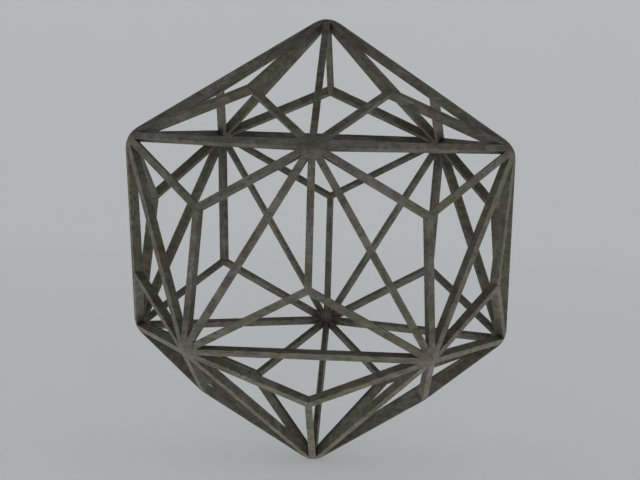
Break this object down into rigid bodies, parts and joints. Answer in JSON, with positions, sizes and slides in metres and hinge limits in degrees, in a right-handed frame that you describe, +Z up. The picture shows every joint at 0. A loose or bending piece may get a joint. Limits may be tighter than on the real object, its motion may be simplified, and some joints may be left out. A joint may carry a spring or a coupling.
{
  "type": "wireframe triakis icosahedron",
  "caption": "Open lattice ball of thin wooden slats in the form of a triakis icosahedron, with turned domed hubs and low mitred apexes.",
  "frame": {"origin": "centre of the lattice", "axes": "+Z up through the top hub, a five-fold axis of the lattice; -Y is the front, where the first hub of the upper ring faces; +X to the right"},
  "size_m": [0.2126, 0.2224, 0.2458],
  "materials": {
    "hub_wood": "matte weathered",
    "long_slat_wood": "matte weathered",
    "short_slat_wood": "matte weathered",
    "key_wood": "bare, sawn"
  },
  "bodies": {
    "root": {"hub_top": "hub_wood", "hub_bottom": "hub_wood", "hub_upper_1": "hub_wood", "hub_upper_2": "hub_wood", "hub_upper_3": "hub_wood", "hub_upper_4": "hub_wood", "hub_upper_5": "hub_wood", "hub_lower_1": "hub_wood", "hub_lower_2": "hub_wood", "hub_lower_3": "hub_wood", "hub_lower_4": "hub_wood", "hub_lower_5": "hub_wood", "long_slat_top_1": "long_slat_wood", "long_slat_top_2": "long_slat_wood", "long_slat_top_3": "long_slat_wood", "long_slat_top_4": "long_slat_wood", "long_slat_top_5": "long_slat_wood", "long_slat_upper_ring_1": "long_slat_wood", "long_slat_upper_ring_2": "long_slat_wood", "long_slat_upper_ring_3": "long_slat_wood", "long_slat_upper_ring_4": "long_slat_wood", "long_slat_upper_ring_5": "long_slat_wood", "long_slat_belt_right_1": "long_slat_wood", "long_slat_belt_right_2": "long_slat_wood", "long_slat_belt_right_3": "long_slat_wood", "long_slat_belt_right_4": "long_slat_wood", "long_slat_belt_right_5": "long_slat_wood", "long_slat_belt_left_1": "long_slat_wood", "long_slat_belt_left_2": "long_slat_wood", "long_slat_belt_left_3": "long_slat_wood", "long_slat_belt_left_4": "long_slat_wood", "long_slat_belt_left_5": "long_slat_wood", "long_slat_lower_ring_1": "long_slat_wood", "long_slat_lower_ring_2": "long_slat_wood", "long_slat_lower_ring_3": "long_slat_wood", "long_slat_lower_ring_4": "long_slat_wood", "long_slat_lower_ring_5": "long_slat_wood", "long_slat_bottom_1": "long_slat_wood", "long_slat_bottom_2": "long_slat_wood", "long_slat_bottom_3": "long_slat_wood", "long_slat_bottom_4": "long_slat_wood", "long_slat_bottom_5": "long_slat_wood", "short_slats_top": "short_slat_wood", "short_slats_bottom": "short_slat_wood", "short_slats_upper_1": "short_slat_wood", "short_slats_upper_2": "short_slat_wood", "short_slats_upper_3": "short_slat_wood", "short_slats_upper_4": "short_slat_wood", "short_slats_upper_5": "short_slat_wood", "short_slats_lower_1": "short_slat_wood", "short_slats_lower_2": "short_slat_wood", "short_slats_lower_3": "short_slat_wood", "short_slats_lower_4": "short_slat_wood", "short_slats_lower_5": "short_slat_wood", "apex_keys_top": "key_wood", "apex_keys_upper": "key_wood", "apex_keys_lower": "key_wood", "apex_keys_bottom": "key_wood"}
  },
  "joints": []
}
